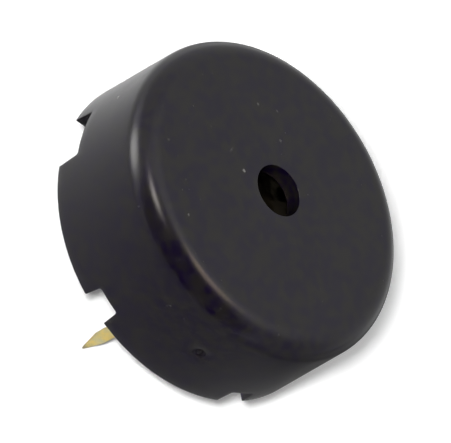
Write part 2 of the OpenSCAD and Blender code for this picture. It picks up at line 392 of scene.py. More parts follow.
def raise_catch(grid, rows, span):
    """Pushes the inner wall in to form one catch with a lead-in slope."""
    slope = (SKIRT_R - CATCH_R) / (CATCH_UPRIGHT_Z - CATCH_FOOT_Z)
    for k in range(span[0], span[1] + 1):
        for i, level in enumerate(SKIRT_LEVELS + CATCH_LEVELS[:2]):
            vert = grid[k % rows["columns"], rows["inner_foot"] - i]
            radius, height = SKIRT_R, level
            if level > BASE_BOTTOM:
                height = BASE_BOTTOM
            elif level == BASE_BOTTOM:
                radius = CATCH_R
            elif level == SKIRT_LEVELS[-1]:
                radius, height = CATCH_R, CATCH_UPRIGHT_Z
            elif level > CATCH_FOOT_Z:
                radius = SKIRT_R - slope * (level - CATCH_FOOT_Z)
            angle = math.atan2(vert.co.y, vert.co.x)
            vert.co = turned(radius, angle, height)


def sink_gate(bm, grid, rows, angles):
    """Sinks the broken gate in the wall: a round pocket with a torn stub in it."""
    middle = min(range(len(angles)), key=lambda k: abs(angles[k] - GATE_TURN))
    middle_row = rows["outer_foot"] + len(SKIRT_LEVELS) + WALL_LEVELS.index(GATE_Z)
    taken = {
        grid[k, r]
        for k in range(middle - GATE_PATCH, middle + GATE_PATCH + 1)
        for r in range(middle_row - GATE_PATCH, middle_row + GATE_PATCH + 1)
    }
    patch = {f for v in taken for f in v.link_faces if taken.issuperset(f.verts)}
    uses = [e for f in patch for e in f.edges]
    border = [e for e in set(uses) if uses.count(e) == 1]
    bmesh.ops.delete(bm, geom=list(patch), context="FACES")
    outwards = turned(1, angles[middle], 0)
    facing = Matrix.Rotation(angles[middle], 4, "Z") @ Matrix.Rotation(math.pi / 2, 4, "Y")
    place = Matrix.Translation(outwards * wall_r(GATE_Z) + UP * GATE_Z) @ facing
    verts, edges = ring(bm, GATE_RINGS[0][0], len(border), place)
    for v in verts:
        across = v.co - outwards * v.co.dot(outwards) - UP * v.co.z
        v.co += outwards * (math.sqrt(wall_r(v.co.z) ** 2 - across.length_squared) - v.co.dot(outwards))
    bmesh.ops.bridge_loops(bm, edges=border + edges)
    sink_rings(bm, edges, outwards * wall_r(GATE_Z) + UP * GATE_Z, outwards, GATE_RINGS)


def build_housing(material):
    """The moulded cup with its notched skirt, catches, sound hole and gate mark."""
    bm = bmesh.new()
    row_of = bm.verts.layers.int.new("row")
    section = cup_section()
    angles, notch_spans, catch_spans = cup_columns()
    count = len(angles)
    rows = {
        "columns": count,
        "inner_foot": len(SKIRT_LEVELS + CATCH_LEVELS) - 1,
        "outer_foot": len(SKIRT_LEVELS + CATCH_LEVELS),
    }
    verts = [bm.verts.new((r, 0, z)) for r, z in section]
    for i, vert in enumerate(verts):
        vert[row_of] = i
    edges = [bm.edges.new(pair) for pair in zip(verts, verts[1:] + verts[:1])]
    bmesh.ops.spin(
        bm, geom=verts + edges, cent=CENTRE, axis=UP, angle=2 * math.pi, steps=count, use_merge=True,
    )
    grid = {}
    for vert in bm.verts:
        turn = math.atan2(vert.co.y, vert.co.x) / (2 * math.pi)
        column = round(turn * count) % count
        grid[column, vert[row_of]] = vert
        vert.co = turned(vert.co.xy.length, angles[column], vert.co.z)
    bmesh.ops.recalc_face_normals(bm, faces=bm.faces)
    for span in catch_spans:
        raise_catch(grid, rows, span)
    sink_gate(bm, grid, rows, angles)
    for span, notch in zip(notch_spans, NOTCHES):
        cut_notch(bm, grid, rows, span, notch)
    bmesh.ops.recalc_face_normals(bm, faces=bm.faces)
    soft = notch_spans[SOFT_CORNER_NOTCH][0]
    soft_edge = bm.edges.get((grid[soft, rows["outer_foot"]], grid[soft, rows["inner_foot"]]))
    round_edges(bm, [soft_edge], SOFT_CORNER_R, segments=4)
    wear = bm.verts.layers.float.new("edge_wear")
    for v in bm.verts:
        on_top_edge = TOP_WEAR_Z < v.co.z < HOUSING_H - SAME and v.co.xy.length > CAVITY_R
        v[wear] = TOP_WEAR if on_top_edge else 0
    skirt = [e for e in sharp_edges(bm) if max(v.co.z for v in e.verts) < BASE_BOTTOM - NEAR]
    for face in round_edges(bm, skirt, SKIRT_EDGE_R, segments=3):
        for v in face.verts:
            v[wear] = 1
    inside = [
        e for e in sharp_edges(bm)
        if all(v.co.z > BASE_BOTTOM - NEAR and v.co.xy.length < INSIDE_R for v in e.verts)
    ]
    round_edges(bm, inside, INNER_EDGE_R, segments=2)
    bm.verts.layers.int.remove(bm.verts.layers.int["row"])
    make_piece("moulded_cup", bm, material, "housing")


# Base plate

def collar_loop(bm, middle):
    """Oblong loop of edges round a pin."""
    place = Matrix.Translation(middle) @ Matrix.Rotation(math.pi / COLLAR_STEPS, 4, "Z")
    verts, edges = ring(bm, COLLAR_W / 2, COLLAR_STEPS, place)
    for v in verts:
        v.co.y += math.copysign((COLLAR_L - COLLAR_W) / 2, v.co.y)
    return edges


def slot_loop(bm, middle):
    """Rectangle of edges that a pin passes through."""
    size = (STRIP_T + 2 * SLOT_CLEAR, PIN_W + 2 * SLOT_CLEAR, 1, 1)
    place = Matrix.Translation(middle) @ Matrix.Diagonal(size) @ Matrix.Rotation(math.pi / 4, 4, "Z")
    return ring(bm, math.sqrt(0.5), 4, place)[1]


def build_base_plate(material):
    """The snap-in plate with its collars, pin slots, staked posts and mould marks."""
    bm = bmesh.new()
    _, edge = ring(bm, BASE_R, BASE_STEPS, Matrix.Translation(UP * BASE_BOTTOM))
    under = [edge]
    _, edge = walled(bm, edge, BASE_TOP - BASE_CHAMFER)
    verts, edge = walled(bm, edge, BASE_TOP)
    for v in verts:
        v.co.xy *= 1 - BASE_CHAMFER / BASE_R
    upper = [edge]
    for side in (1, -1):
        pin = Vector((side * PIN_X, 0, 0))
        collar = collar_loop(bm, pin + UP * BASE_BOTTOM)
        under.append(collar)
        _, collar_foot = walled(bm, collar, COLLAR_BOTTOM)
        slot = slot_loop(bm, pin + UP * COLLAR_BOTTOM)
        filled(bm, [collar_foot, slot])
        _, throat = walled(bm, slot, BASE_TOP - BEND_R)
        verts, mouth = walled(bm, throat, BASE_TOP)
        for v in verts:
            if abs(v.co.x) < PIN_X:
                v.co.x -= side * BEND_R
        upper.append(mouth)
        post_at = Vector((side * STAKE_X, 0, BASE_TOP))
        _, post = ring(bm, STAKE_RINGS[0][0], STAKE_STEPS, Matrix.Translation(post_at))
        upper.append(post)
        sink_rings(bm, post, post_at, UP, STAKE_RINGS)
    marks = [(turned(EJECTOR_R, turn, BASE_BOTTOM), EJECTOR_RINGS) for turn in EJECTOR_TURNS]
    for middle, rings in marks + [(UP * BASE_BOTTOM, PLATE_GATE_RINGS)]:
        _, mark = ring(bm, rings[0][0], MARK_STEPS, Matrix.Translation(middle))
        under.append(mark)
        sink_rings(bm, mark, middle, -UP, rings)
    filled(bm, under)
    filled(bm, upper)
    bmesh.ops.recalc_face_normals(bm, faces=bm.faces)
    make_piece("snap_in_plate", bm, material, "base_plate", bevel=BASE_EDGE_R)


# Terminals

def bent_strip(bm, edges, axis_at, axis, angle, steps):
    """Takes the end of a strip round a bend."""
    for _ in range(steps):
        verts, edges = extruded(bm, edges)
        bmesh.ops.rotate(bm, cent=axis_at, matrix=Matrix.Rotation(angle / steps, 3, axis), verts=verts)
    return edges


def drawn_strip(bm, edges, along, width=1):
    """Takes the end of a strip straight on, to a share of its width."""
    verts, edges = extruded(bm, edges)
    middle = sum((v.co for v in verts), Vector()) / len(verts)
    for v in verts:
        v.co = middle + (v.co - middle) * width + along
    return edges


def foot_sheet(bm, outline):
    """Lower face of a terminal's foot, with the hole for its post, and the outline's vertices."""
    verts = [bm.verts.new((x, y, BASE_TOP)) for x, y in outline]
    edges = [bm.edges.new(pair) for pair in zip(verts, verts[1:] + verts[:1])]
    _, hole = ring(bm, STAKE_HOLE_R, STAKE_STEPS, Matrix.Translation((STAKE_X, 0, BASE_TOP)))
    filled(bm, [edges, hole])
    return verts


def pin_strip(bm, edges):
    """Pin that leaves the foot through a bend and ends in a point."""
    bend_at = Vector((FOOT_X, 0, BASE_TOP - BEND_R))
    edges = bent_strip(bm, edges, bend_at, "Y", math.pi / 2, PIN_BEND_STEPS)
    edges = drawn_strip(bm, edges, UP * (COLLAR_BOTTOM - BASE_TOP + BEND_R))
    edges = drawn_strip(bm, edges, UP * (PIN_END + TIP_L - COLLAR_BOTTOM))
    drawn_strip(bm, edges, UP * -TIP_L, TIP_W / PIN_W)


def coin_pin(bm):
    """Presses slopes along the edges of a pin below its collar."""
    for v in bm.verts:
        if v.co.z < COLLAR_BOTTOM + SAME:
            half = (PIN_W if v.co.z > PIN_END + SAME else TIP_W) / 2
            if abs(v.co.y) > half - SAME:
                v.co.x += math.copysign(COINED_DEPTH, PIN_X - v.co.x)


def spring_arm(bm, edges, root, level, axis, reach, rise):
    """Arm that rises from the foot and ends in cut corners; returns its dimple's centre and direction."""
    back = BEND_R + DIMPLE_R - DIMPLE_H
    lift = rise - STRIP_T - BEND_R - DIMPLE_R
    slope = math.atan2(lift, reach) + math.atan2(back, math.sqrt(reach ** 2 + lift ** 2 - back ** 2))
    along = math.cos(slope) * level + math.sin(slope) * UP
    outer_r = BEND_R + STRIP_T
    cut = ARM_W / 4
    edges = bent_strip(bm, edges, root + UP * outer_r, axis, slope, ARM_BEND_STEPS)
    length = (reach + ARM_W / 2 - outer_r * math.sin(slope)) / math.cos(slope)
    edges = drawn_strip(bm, edges, along * (length - cut))
    drawn_strip(bm, edges, along * cut, ARM_END)
    outwards = math.cos(slope) * UP - math.sin(slope) * level
    return root + reach * level + (rise - DIMPLE_R) * UP, outwards


def press_dimple(bm, centre, outwards):
    """Round contact dimple that stands out of an arm."""
    start = math.sin(DIMPLE_TURNS[0])
    rings = [(DIMPLE_R * math.cos(t), DIMPLE_R * (start - math.sin(t))) for t in DIMPLE_TURNS]
    foot = centre + outwards * DIMPLE_R * start
    place = Matrix.Translation(foot) @ outwards.to_track_quat("Z", "Y").to_matrix().to_4x4()
    _, edges = ring(bm, rings[0][0], DIMPLE_STEPS, place)
    bmesh.ops.contextual_create(bm, geom=edges)
    sink_rings(bm, edges, foot, outwards, rings)


def finish_strip(bm, corners):
    """Gives a sheet its thickness, on its upper side, and rounds free corners of its foot."""
    bmesh.ops.recalc_face_normals(bm, faces=bm.faces)
    foot = next(f for f in bm.faces if all(abs(v.co.z - BASE_TOP) < SAME for v in f.verts))
    if foot.normal.z < 0:
        bmesh.ops.reverse_faces(bm, faces=bm.faces)
    bmesh.ops.solidify(bm, geom=bm.faces[:], thickness=-STRIP_T)
    coin_pin(bm)
    bmesh.ops.recalc_face_normals(bm, faces=bm.faces)
    free = [
        e for e in bm.edges
        if (e.verts[0].co - e.verts[1].co).xy.length < SAME
        and any((e.verts[0].co.xy - Vector(c)).length < NEAR for c in corners)
    ]
    round_edges(bm, free, FOOT_CORNER_R, segments=5)


def build_plate_terminal(material):
    """Terminal whose arm runs along the wall to the brass plate."""
    bm = bmesh.new()
    side = FOOT_W / 2
    corners = [(FOOT_END_X, -side), (FOOT_X, -side), (FOOT_END_X, side)]
    outline = [*corners[:2], *PIN_ROOT, (FOOT_X, side), (FOOT_X - ARM_W, side), corners[2]]
    verts = foot_sheet(bm, outline)
    pin_strip(bm, chain_edges(bm, verts[2:6]))
    arm_x = FOOT_X - ARM_W / 2
    reach = math.sqrt(PLATE_CONTACT_R ** 2 - arm_x ** 2) - side
    root = Vector((arm_x, side, BASE_TOP))
    arm = chain_edges(bm, verts[6:8])
    contact = spring_arm(bm, arm, root, Vector((0, 1, 0)), "X", reach, PLATE_Z - BASE_TOP)
    finish_strip(bm, corners)
    press_dimple(bm, *contact)
    make_piece("plate_contact_strip", bm, material, "plate_terminal", bevel=STRIP_EDGE_R)


def build_electrode_terminal(material):
    """Terminal whose arm runs inwards to the silver electrode."""
    bm = bmesh.new()
    side = FOOT_W / 2
    corners = [(FOOT_END_X, -side), (FOOT_X, -side), (FOOT_X, side), (FOOT_END_X, side)]
    half = ARM_W / 2
    outline = [*corners[:2], *PIN_ROOT, *corners[2:], (FOOT_END_X, half), (FOOT_END_X, -half)]
    verts = foot_sheet(bm, outline)
    pin_strip(bm, chain_edges(bm, verts[2:6]))
    reach = FOOT_END_X - ELECTRODE_CONTACT_R
    root = Vector((FOOT_END_X, 0, BASE_TOP))
    arm = chain_edges(bm, verts[8:10])
    contact = spring_arm(bm, arm, root, Vector((-1, 0, 0)), "Y", reach, ELECTRODE_Z - BASE_TOP)
    finish_strip(bm, corners)
    press_dimple(bm, *contact)
    bmesh.ops.rotate(bm, cent=CENTRE, matrix=Matrix.Rotation(math.pi, 3, "Z"), verts=bm.verts)
    make_piece(
        "electrode_contact_strip", bm, material, "electrode_terminal", bevel=STRIP_EDGE_R,
    )


# Materials

# Noise of the surfaces, in waves per millimetre
GRAIN_WAVES = 7
CLOUD_WAVES = 0.35
TINT_WAVES = 1.3
TINT_STRETCH = (1.0, 1.0, 1.6)
RUB_WAVES = 1.6
SPECK_WAVES = 14
DUST_WAVES = 5
DUST_PATCH_WAVES = 0.4
LINE_WAVES = 6
STAIN_WAVES = 0.9

# Specks of dust on the cup, in millimetres: place, half size and cover
SPECKS = [
    ((1.13, -2.59, 7.9), (0.14, 0.14, 0.2), 0.32),
    ((-3.19, -1.69, 7.9), (0.14, 0.12, 0.2), 0.11),
    ((-3.97, -4.26, 7.9), (0.12, 0.12, 0.2), 0.12),
    ((-4.87, -2.96, 7.9), (0.1, 0.12, 0.2), 0.08),
    ((0.69, -4.01, 7.9), (0.3, 0.08, 0.2), 0.055),
    ((7.2, -3.92, 7.9), (0.1, 0.1, 0.2), 0.14),
    ((4.13, -7.57, 7.9), (0.1, 0.12, 0.2), 0.05),
    ((1.03, -10.71, 4.28), (0.12, 0.25, 0.12), 0.8),
]
DUST = (0.42, 0.41, 0.39, 1)
DUST_COVER = 0.06
DUST_ROUGHNESS = 0.4

# Plastics: the cool and the warm end of each tint, and the colour of rubbed edges
HOUSING_COLOURS = (0.0028, 0.0012, 0.0082, 1), (0.0066, 0.0056, 0.0054, 1), (0.01, 0.009, 0.0105, 1)
BASE_COLOURS = (0.0034, 0.0026, 0.007, 1), (0.0058, 0.0052, 0.0052, 1), (0.01, 0.0095, 0.0105, 1)
PLASTIC_ROUGHNESS = (0.18, 0.26)
GLOSS_RANGE = (0.2, 0.9)

# Brass: bright and dull colour, then the stretch of its lines, and the ranges of metal and roughness
STRIP_COLOURS = (0.93, 0.73, 0.24, 1), (0.62, 0.57, 0.35, 1)
# The diaphragm sheet's colours are dull brass, darkened further as painted shade of the closed cavity that
# the sound hole looks into
SHEET_COLOURS_WITH_PAINTED_SHADE = (0.4, 0.34, 0.23, 1), (0.31, 0.26, 0.19, 1)
STRIP_LINES = (1.0, 1.0, 0.1)
SHEET_LINES = (1.0, 0.08, 1.0)
STRIP_METAL = (0.84, 0.6)
SHEET_METAL = (1, 0.98)
STRIP_ROUGHNESS = (0.28, 0.42)
SHEET_ROUGHNESS = (0.4, 0.48)

# Tips of the pins, darker towards their ends: their colour, how much of it shows and between which heights
# it fades
DARK_TIP_COLOUR = (0.3, 0.26, 0.2, 1)
DARK_TIP_SHARE = 0.75
DARK_TIP_SPAN = (PIN_END + 0.12, PIN_END + 0.75)


def add_node(tree, kind, inputs=None, **settings):
    """Adds a node, with its settings and its inputs, which are values or other nodes' outputs."""
    node = tree.nodes.new(kind)
    for name, value in settings.items():
        setattr(node, name, value)
    for name, value in (inputs or {}).items():
        if isinstance(value, bpy.types.NodeSocket):
            tree.links.new(value, node.inputs[name])
        else:
            node.inputs[name].default_value = value
    return node


def own_place(tree):
    """Place on an object, along the object's own axes."""
    return add_node(tree, "ShaderNodeTexCoord").outputs["Object"]


def new_material(name):
    """Material with a Principled shader; returns it with its nodes, the shader's inputs and the place."""
    material = bpy.data.materials.new(name)
    material.use_nodes = True
    tree = material.node_tree
    return material, tree, tree.nodes["Principled BSDF"].inputs, own_place(tree)


def new_group(name, inputs, outputs):
    """Node group with named sockets; returns it with the sockets inside it."""
    group = bpy.data.node_groups.new(name, "ShaderNodeTree")
    for label, kind in inputs.items():
        group.interface.new_socket(label, in_out="INPUT", socket_type="NodeSocket" + kind)
    for label, kind in outputs.items():
        group.interface.new_socket(label, in_out="OUTPUT", socket_type="NodeSocket" + kind)
    return group, group.nodes.new("NodeGroupInput").outputs, group.nodes.new("NodeGroupOutput").inputs


def use_group(tree, group, inputs):
    """Outputs of a node group that a tree uses."""
    return add_node(tree, "ShaderNodeGroup", inputs, node_tree=group).outputs


def calc(tree, operation, a, b):
    """Arithmetic on two values."""
    return add_node(tree, "ShaderNodeMath", {0: a, 1: b}, operation=operation).outputs[0]


def vector_calc(tree, operation, a, b, result="Vector"):
    """Arithmetic on two vectors, whose result is a vector or a value."""
    return add_node(tree, "ShaderNodeVectorMath", {0: a, 1: b}, operation=operation).outputs[result]


def stretched(tree, place, factors):
    """Place with its axes stretched."""
    return vector_calc(tree, "MULTIPLY", place, factors)


def distance(tree, place, middle=CENTRE):
    """Distance of a place from a point."""
    return vector_calc(tree, "DISTANCE", place, middle, "Value")


def reach_along(tree, place, direction):
    """How far a place lies along a direction."""
    return vector_calc(tree, "DOT_PRODUCT", place, direction, "Value")


def remap(tree, value, low, high, to_low, to_high):
    """Value taken smoothly from one range to another and held at its ends."""
    ends = {"Value": value, "From Min": low, "From Max": high, "To Min": to_low, "To Max": to_high}
    return add_node(tree, "ShaderNodeMapRange", ends, interpolation_type="SMOOTHSTEP").outputs[0]


def fade(tree, value, span, start, end):
    """Value that goes smoothly from start to end over a span of another, in millimetres."""
    return remap(tree, value, span[0] * MM, span[1] * MM, start, end)


def blend(tree, share, a, b):
    """Mix of two colours."""
    return add_node(tree, "ShaderNodeMix", {0: share, 6: a, 7: b}, data_type="RGBA").outputs[2]


def blend_values(tree, share, a, b):
    """Mix of two values."""
    return add_node(tree, "ShaderNodeMix", {0: share, 2: a, 3: b}).outputs[0]


def noise(tree, place, waves, detail, rough=0.5):
    """Noise with a number of waves per millimetre."""
    inputs = {"Vector": place, "Scale": waves / MM, "Detail": detail, "Roughness": rough}
    return add_node(tree, "ShaderNodeTexNoise", inputs).outputs[0]


def bump(tree, height, depth, strength):
    """Normal of a surface with a fine height, its depth in millimetres."""
    inputs = {"Height": height, "Distance": depth * MM, "Strength": strength}
    return add_node(tree, "ShaderNodeBump", inputs).outputs[0]


def moulded_grain_group():
    """Fine grain of a mould's surface, with slow clouds of gloss and a mottled tint."""
    group, given, made = new_group(
        "moulded_grain", {"Place": "Vector"}, {"Height": "Float", "Gloss": "Float", "Tint": "Float"}
    )
    fine = noise(group, given["Place"], GRAIN_WAVES, detail=3)
    cloud = noise(group, given["Place"], CLOUD_WAVES, detail=3)
    tint = noise(group, stretched(group, given["Place"], TINT_STRETCH), TINT_WAVES, detail=4)
    gloss = calc(group, "ADD", remap(group, cloud, 0.3, 0.7, 0.15, 0.65), calc(group, "MULTIPLY", fine, 0.4))
    group.links.new(fine, made["Height"])
    group.links.new(gloss, made["Gloss"])
    group.links.new(remap(group, tint, 0.35, 0.65, 0, 1), made["Tint"])
    return group


def edge_rub_group():
    """Where handling has polished an edge, broken up by noise."""
    group, given, made = new_group("edge_rub", {"Place": "Vector", "Wear": "Float"}, {"Mask": "Float"})
    uneven = noise(group, given["Place"], RUB_WAVES, detail=4, rough=0.6)
    patches = remap(group, uneven, 0.42, 0.7, 0, 1)
    group.links.new(calc(group, "MULTIPLY", given["Wear"], patches), made["Mask"])
    return group


def speck_group():
    """One speck or short fibre of dust, its centre and half size given in millimetres."""
    inputs = {"Place": "Vector", "Centre": "Vector", "Size": "Vector", "Cover": "Float"}
    group, given, made = new_group("dust_speck", inputs, {"Mask": "Float"})
    at = stretched(group, given["Place"], (1 / MM, 1 / MM, 1 / MM))
    off = vector_calc(group, "SUBTRACT", at, given["Centre"])
    ratio = vector_calc(group, "DIVIDE", off, given["Size"])
    rough = calc(group, "MULTIPLY", noise(group, given["Place"], SPECK_WAVES, detail=2), 0.5)
    ragged = calc(group, "ADD", distance(group, ratio), rough)
    soft = remap(group, ragged, 0.5, 1.4, 1, 0)
    group.links.new(calc(group, "MULTIPLY", soft, given["Cover"]), made["Mask"])
    return group


def fine_dust_group():
    """Sparse fine dust that has settled on a piece."""
    group, given, made = new_group("fine_dust", {"Place": "Vector", "Cover": "Float"}, {"Mask": "Float"})
    grains = remap(group, noise(group, given["Place"], DUST_WAVES, detail=1), 0.74, 0.8, 0, 1)
    patches = remap(group, noise(group, given["Place"], DUST_PATCH_WAVES, detail=2), 0.4, 0.65, 0, 1)
    settled = calc(group, "MULTIPLY", grains, patches)
    group.links.new(calc(group, "MULTIPLY", settled, given["Cover"]), made["Mask"])
    return group


def rolled_metal_group():
    """Rolling lines along one axis and slow stains of a rolled sheet."""
    outputs = {"Line": "Float", "Stain": "Float", "Height": "Float"}
    group, given, made = new_group("rolled_metal", {"Place": "Vector", "Lines": "Vector"}, outputs)
    lines = noise(group, stretched(group, given["Place"], given["Lines"]), LINE_WAVES, detail=3)
    stain = noise(group, given["Place"], STAIN_WAVES, detail=4, rough=0.6)
    group.links.new(remap(group, lines, 0.3, 0.7, 0, 1), made["Line"])
    group.links.new(remap(group, stain, 0.4, 0.7, 0, 1), made["Stain"])
    group.links.new(lines, made["Height"])
    return group


MOULDED_GRAIN = moulded_grain_group()
EDGE_RUB = edge_rub_group()
DUST_SPECK = speck_group()
FINE_DUST = fine_dust_group()
ROLLED_METAL = rolled_metal_group()


def plastic_finish(name, colours, specks=()):
    """Black moulded plastic with a satin grain, rubbed edges and a little dust."""
    cool, warm, rub = colours
    material, tree, shader, place = new_material(name)
    grain = use_group(tree, MOULDED_GRAIN, {"Place": place})
    wear = add_node(tree, "ShaderNodeAttribute", attribute_name="edge_wear").outputs["Fac"]
    rubbed = use_group(tree, EDGE_RUB, {"Place": place, "Wear": wear})["Mask"]
    dust = use_group(tree, FINE_DUST, {"Place": place, "Cover": DUST_COVER})["Mask"]
    for centre, size, cover in specks:
        inputs = {"Place": place, "Centre": centre, "Size": size, "Cover": cover}
        dust = calc(tree, "MAXIMUM", dust, use_group(tree, DUST_SPECK, inputs)["Mask"])
    colour = blend(tree, rubbed, blend(tree, grain["Tint"], cool, warm), rub)
    roughness = remap(tree, grain["Gloss"], *GLOSS_RANGE, *PLASTIC_ROUGHNESS)
    roughness = calc(tree, "ADD", roughness, calc(tree, "MULTIPLY", dust, DUST_ROUGHNESS))
    tree.links.new(blend(tree, dust, colour, DUST), shader["Base Color"])
    tree.links.new(roughness, shader["Roughness"])
    tree.links.new(bump(tree, grain["Height"], depth=0.005, strength=0.6), shader["Normal"])
    return material


def brass_finish(name, colours, lines, metal, roughness):
    """Rolled brass, slightly tarnished, that turns darker towards the pin tips where it reaches down to
    them.
    """
    bright, dull = colours
    material, tree, shader, place = new_material(name)
    rolled = use_group(tree, ROLLED_METAL, {"Place": place, "Lines": lines})
    height = add_node(tree, "ShaderNodeSeparateXYZ", {0: place}).outputs["Z"]
    dark_tip = fade(tree, height, DARK_TIP_SPAN, DARK_TIP_SHARE, 0)
    colour = blend(tree, dark_tip, blend(tree, rolled["Stain"], bright, dull), DARK_TIP_COLOUR)
    tree.links.new(colour, shader["Base Color"])
    tree.links.new(remap(tree, rolled["Line"], 0, 1, *roughness), shader["Roughness"])
    tree.links.new(remap(tree, rolled["Stain"], 0, 1, *metal), shader["Metallic"])
    tree.links.new(bump(tree, rolled["Height"], depth=0.004, strength=0.3), shader["Normal"])
    return material


def plain_finish(name, colours, roughness, depth, strength):
    """Finish with an uneven tint and a fine grain; returns it with its shader's inputs."""
    material, tree, shader, place = new_material(name)
    grain = use_group(tree, MOULDED_GRAIN, {"Place": place})
    tree.links.new(blend(tree, grain["Tint"], *colours), shader["Base Color"])
    tree.links.new(remap(tree, grain["Gloss"], *GLOSS_RANGE, *roughness), shader["Roughness"])
    tree.links.new(bump(tree, grain["Height"], depth, strength), shader["Normal"])
    return material, shader


def ceramic_finish():
    """Fired ceramic, pale and a little uneven."""
    colours = (0.66, 0.62, 0.5, 1), (0.6, 0.57, 0.47, 1)
    material, _ = plain_finish("fired_ceramic", colours, roughness=(0.5, 0.7), depth=0.003, strength=0.4)
    return material


def silver_finish():
    """Matt fired silver paste."""
    colours = (0.74, 0.74, 0.73, 1), (0.66, 0.65, 0.62, 1)
    material, shader = plain_finish(
        "fired_silver_paste", colours, roughness=(0.42, 0.58), depth=0.006, strength=0.5,
    )
    shader["Metallic"].default_value = 0.9
    return material


def silicone_finish():
    """Translucent silicone bead with a soft gloss."""
    colours = (0.72, 0.71, 0.68, 1), (0.64, 0.63, 0.6, 1)
    material, shader = plain_finish(
        "silicone_bead", colours, roughness=(0.3, 0.45), depth=0.01, strength=0.4,
    )
    shader["Subsurface Weight"].default_value = 0.3
    shader["Subsurface Radius"].default_value = (MM, MM, MM)
    return material


def finish_solid(name, material):
    """Gives a solid that stays in view its material."""
    mesh = nodes[name].data
    mesh.materials.clear()
    mesh.materials.append(material)


# Camera, from the photograph's fitted perspective

VIEW_TILT = math.radians(46.602)
VIEW_TURN = math.radians(-18.67)
VIEW_ROLL = math.radians(-30.043)
CAMERA_DISTANCE = 125.3
LENS = 156.2
SENSOR_WIDTH = 36
AIM_RIGHT, AIM_UP = 0.16, 0.0915


def view_axes():
    """Right, up and backward directions of the photograph."""
    near = turned(1, VIEW_TURN, 0)
    side = UP.cross(near)
    back = math.cos(VIEW_TILT) * UP + math.sin(VIEW_TILT) * near
    rise = math.sin(VIEW_TILT) * UP - math.cos(VIEW_TILT) * near
    right = math.cos(VIEW_ROLL) * rise - math.sin(VIEW_ROLL) * side
    up = -(math.sin(VIEW_ROLL) * rise + math.cos(VIEW_ROLL) * side)
    return right, up, back


def place_camera():
    """Camera at the photograph's viewing angle."""
    right, up, back = view_axes()
    location = CAMERA_DISTANCE * back
    aim = RIM_R * (AIM_RIGHT * right + AIM_UP * up)
    away = (location - aim).normalized()
    right = (right - right.dot(away) * away).normalized()
    up = away.cross(right)
    camera = bpy.data.objects.new("camera", bpy.data.cameras.new("camera"))
    bpy.context.scene.collection.objects.link(camera)
    camera.data.lens = LENS
    camera.data.sensor_width = SENSOR_WIDTH
    camera.data.sensor_fit = "HORIZONTAL"
    camera.data.clip_start = 0.01
    turn = Matrix((right, up, away)).transposed().to_4x4()
    camera.matrix_world = Matrix.Translation(location * MM) @ turn
    bpy.context.scene.camera = camera


# Stage and light, in millimetres

# What the camera sees of the floor: its colour, and a glow that grows towards one side and far out
FLOOR_R = 700
FLOOR_COLOUR = (0.9, 0.9, 0.9, 1)
FLOOR_LIFTS = (0.02, 0.5)
FLOOR_LIFT_TURN = math.radians(161.3)
FLOOR_LIFT_REACH = (-25, 50)
FAR_LIFT = 0.97
FAR_LIFT_REACH = (35, 190)

# What the gloss mirrors of the floor: a bright place and its fall, a shaded side and the dark under the part
FLOOR_BRIGHT_AT = Vector((-12, -19, 0))
FLOOR_BRIGHT = 0.95
FLOOR_FALL = 0.0165
FLOOR_LEAST = 0.22
FLOOR_SHADE = 0.5
FLOOR_SHADE_TURN = math.radians(135)
FLOOR_SHADE_REACH = (3, 15)
FLOOR_UNDER = 0.08
FLOOR_UNDER_AT = Vector((1, -5, 0))
FLOOR_UNDER_REACH = (5.5, 9)

# The same far out, where it goes over to a shade that falls along one direction
FLOOR_FAR = (0.75, 0.22)
FLOOR_FAR_TURN = math.radians(35)
FLOOR_FAR_FALL = (-15, 40)
FLOOR_FAR_REACH = (26, 70)

# Surroundings: their light, what the gloss mirrors of them, and a dimmer side by the cosine from its middle
SURROUND = 0.19
MIRRORED_SURROUND = 0.57
MIRRORED_ZENITH = 1.02
ZENITH_FROM = 0.67
DIM_SIDE = (62, 12)
DIM_SIDE_DROP = 0.27
DIM_SIDE_SPAN = (0.5, 0.966)

# Dark card: azimuth and height in degrees, and the share of its radius that is all dark
CARD_AT = (-8, 32)
CARD_DISTANCE = 150
CARD_R = 280
CARD_CORE = 0.38

# Lamp near the camera, moved to the right and up by shares of the camera's distance
FRONT_SHIFT = (-0.026, 0.036)
FRONT_DISTANCE = 125
FRONT_SIZE = (8, 8)
FRONT_POWER = 0.226

# Gleams: azimuth and height in degrees, distance, size, power in watts and colour
GLEAMS = {
    "high_strip": ((-65, 55.5), 180, (50, 58), 0.086, (1, 0.92, 0.87)),
    "far_strip": ((90, 79), 153, (76, 55), 0.033, (1, 0.75, 0.52)),
    "low_strip": ((-79.5, 5.3), 60, (32, 40), 0.0168, (1, 0.985, 0.93)),
    "low_glow": ((-86, 6), 62, (78, 38), 0.0039, (1, 1, 1)),
}
GLEAM_MIDDLE = (0.5, 0.5, 0)
GLEAM_FADE = (0.2, 0.5)


def sky(turn, height):
    """Direction at an azimuth and a height in degrees."""
    turn, height = math.radians(turn), math.radians(height)
    return turned(math.cos(height), turn, math.sin(height))


def stage_disc(name, face, radius, segments):
    """Flat disc of the studio with an empty material; returns it with the material's nodes."""
    bm = bmesh.new()
    bmesh.ops.create_circle(bm, cap_ends=True, segments=segments, radius=radius * MM)
    mesh = bpy.data.meshes.new(name)
    bm.to_mesh(mesh)
    bm.free()
    disc = bpy.data.objects.new(name, mesh)
    bpy.context.scene.collection.objects.link(disc)
    material = bpy.data.materials.new(face)
    material.use_nodes = True
    material.node_tree.nodes.clear()
    mesh.materials.append(material)
    return disc, material.node_tree


def face_object(thing, direction, reach):
    """Places a lamp or card at a reach in a direction, facing the object."""
    thing.location = direction * reach * MM
    thing.rotation_mode = "QUATERNION"
    thing.rotation_quaternion = direction.to_track_quat("Z", "Y")


